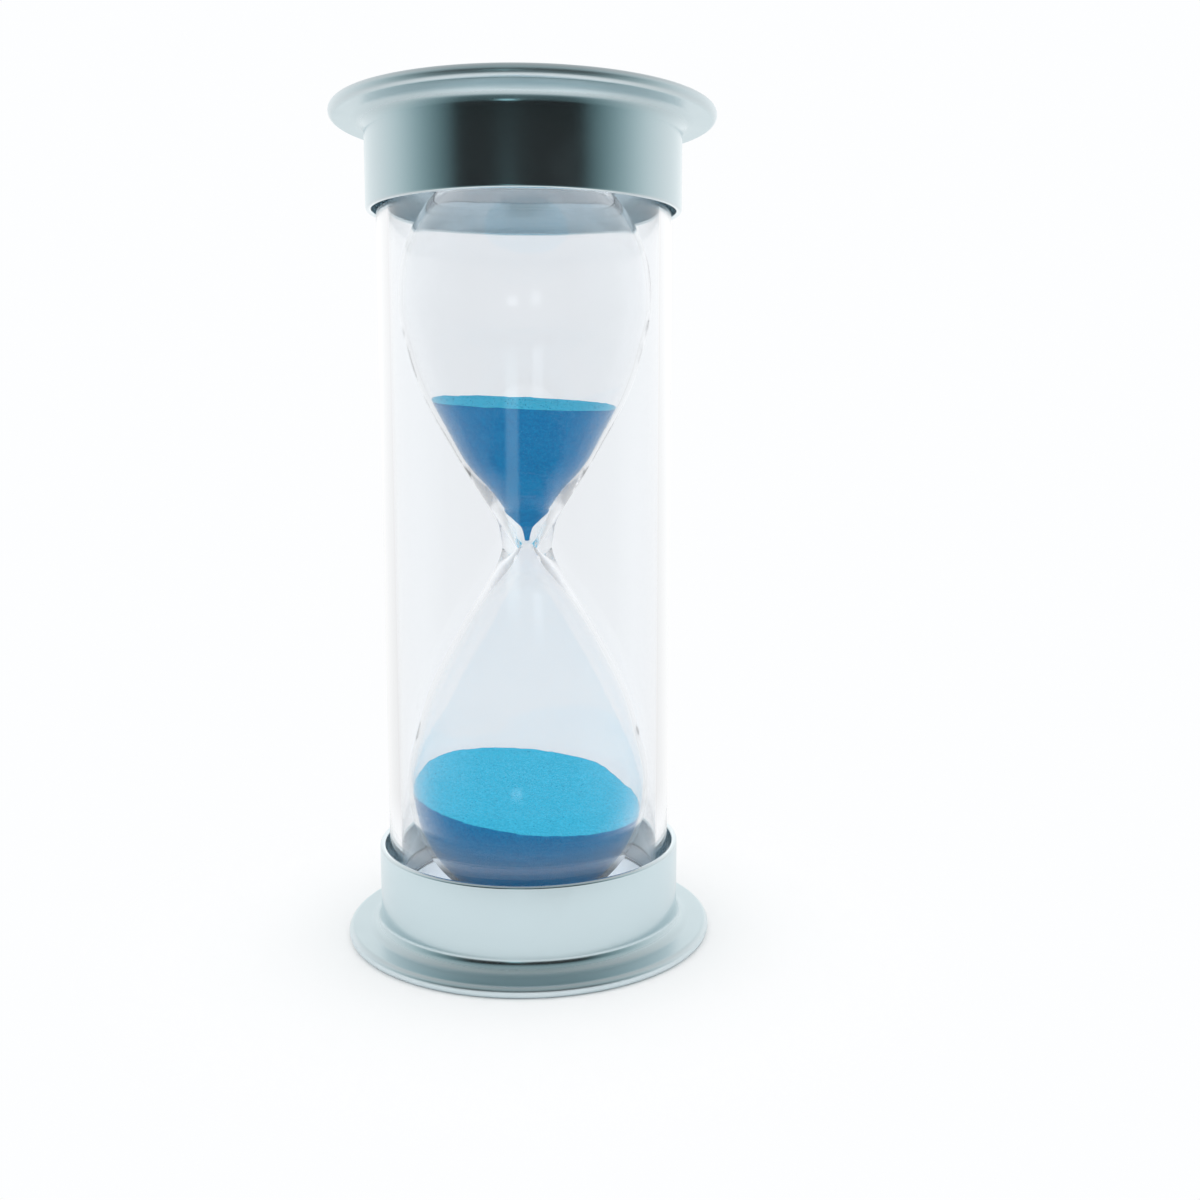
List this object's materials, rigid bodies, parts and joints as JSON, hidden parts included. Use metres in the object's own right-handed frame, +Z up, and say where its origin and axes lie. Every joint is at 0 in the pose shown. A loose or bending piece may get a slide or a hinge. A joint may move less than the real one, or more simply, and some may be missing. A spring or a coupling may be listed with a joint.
{
  "type": "hourglass sand timer",
  "caption": "Round sand timer: a blown glass hourglass with blue sand inside a clear acrylic tube, closed by flanged satin aluminium caps with white foam pads.",
  "frame": {"origin": "centre of the base cap's outer face, on the timer's axis", "axes": "+Z up along the timer's axis, from the base cap to the top cap; the lower sand is highest towards -X"},
  "size_m": [0.065, 0.065, 0.143],
  "materials": {
    "cap_aluminium": "satin",
    "clear_acrylic": "gloss",
    "bulb_glass": "gloss",
    "blue_sand": "matte",
    "white_foam": "matte",
    "clear_glue": "gloss",
    "plug_rubber": "satin",
    "seal_resin": "gloss"
  },
  "bodies": {
    "root": {"base_cap": "cap_aluminium", "top_cap": "cap_aluminium", "outer_tube": "clear_acrylic", "base_foam_disc": "white_foam", "base_foam_ring": "white_foam", "top_foam_disc": "white_foam", "top_foam_ring": "white_foam", "base_glue_bead": "clear_glue", "top_glue_bead": "clear_glue", "glass_bulb": "bulb_glass", "filling_plug": "plug_rubber", "plug_seal": "seal_resin", "upper_sand": "blue_sand", "lower_sand": "blue_sand"}
  },
  "joints": []
}
